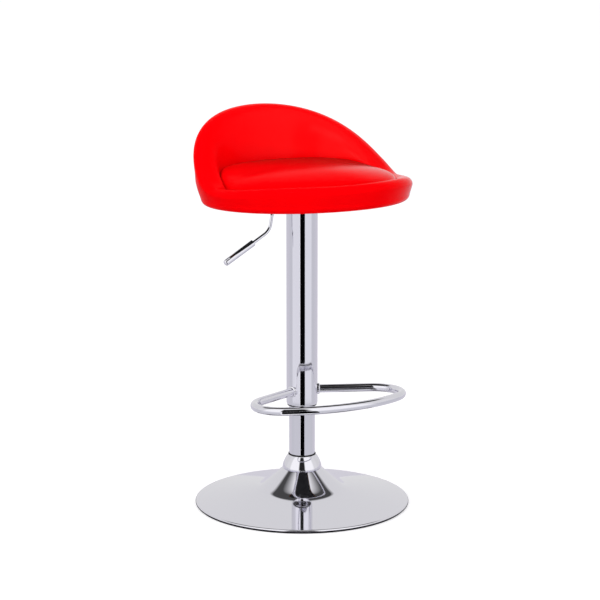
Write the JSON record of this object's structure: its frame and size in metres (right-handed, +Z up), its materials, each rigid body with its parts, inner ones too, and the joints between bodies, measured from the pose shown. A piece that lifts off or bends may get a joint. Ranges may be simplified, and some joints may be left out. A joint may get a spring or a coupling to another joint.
{
  "type": "counter stool",
  "caption": "Gas-lift counter stool: low-back upholstered bucket seat with a crowned pad, chromed sleeve and column, foot loop, height lever and trumpet base.",
  "frame": {"origin": "on the floor, under the centre of the round base", "axes": "+Z up along the column; the sitter faces -Y; the height lever is on the -X side, at the sitter's right hand"},
  "size_m": [0.415, 0.429, 0.7578],
  "materials": {
    "chrome": "mirror chrome plate",
    "steel": "plain steel",
    "black_steel": "black powder coat",
    "zinc_steel": "zinc plate",
    "black_plastic": "moulded, satin",
    "rubber": "matt",
    "red_leather": "smooth synthetic leather, semi-gloss",
    "foam": "open-cell foam",
    "plywood": "moulded plywood",
    "black_fabric": "stapled dust cover cloth"
  },
  "bodies": {
    "base": {"base_dish": "chrome", "floor_ring": "rubber", "base_socket": "steel", "base_stiffener": "steel", "base_collar": "chrome", "outer_tube": "chrome", "guide_bush": "black_plastic", "lower_bearing_race": "steel", "ball_cage": "steel"},
    "spindle": {"piston_rod": "steel", "retaining_clip": "zinc_steel", "upper_bearing_race": "steel", "rubber_buffer": "rubber", "piston_head": "black_plastic"},
    "lift": {"pressure_tube": "black_steel", "rod_guide_seal": "rubber", "valve_body": "zinc_steel", "socket_hub": "black_steel", "sleeve": "chrome", "sleeve_guide_ring": "black_plastic", "sleeve_top_cap": "black_plastic", "footrest_loop": "chrome", "footrest_collar_left": "chrome", "footrest_collar_right": "chrome", "lever_bracket": "black_steel", "lever_pivot_pin": "zinc_steel", "seat_plate": "black_steel", "seat_bolt_1": "zinc_steel", "seat_bolt_2": "zinc_steel", "seat_bolt_3": "zinc_steel", "seat_bolt_4": "zinc_steel", "tee_nut_1": "zinc_steel", "tee_nut_2": "zinc_steel", "tee_nut_3": "zinc_steel", "tee_nut_4": "zinc_steel", "underside_cover": "black_fabric", "bucket_board": "plywood", "shell_foam": "foam", "shell_cover": "red_leather", "pad_screw_1": "zinc_steel", "pad_screw_2": "zinc_steel", "pad_screw_3": "zinc_steel", "pad_board": "plywood", "pad_foam": "foam", "pad_cover": "red_leather"},
    "lever": {"lever_rod": "chrome", "lever_grip": "chrome"},
    "valve": {"valve_pin": "steel"}
  },
  "joints": [
    {"name": "seat_swivel", "type": "hinge", "parent": "base", "child": "spindle", "pos_m": [0, 0, 0.025], "axis": [0, 0, 1], "continuous": true},
    {"name": "height_slide", "type": "slide", "parent": "spindle", "child": "lift", "axis": [0, 0, 1], "range_m": [-0.09, 0.12]},
    {"name": "lever_pivot", "type": "hinge", "parent": "lift", "child": "lever", "pos_m": [-0.017, 0, 0.5831], "axis": [0, 1, 0], "range_deg": [0, 7], "stiffness_Nm_per_rad": 3, "springref_deg": -8.59},
    {"name": "valve_press", "type": "slide", "parent": "lift", "child": "valve", "axis": [0, 0, 1], "range_m": [-0.0022, 0]}
  ],
  "couplings": [
    {"joint": "valve_press", "follows": "lever_pivot", "m_per_rad": -0.017}
  ]
}
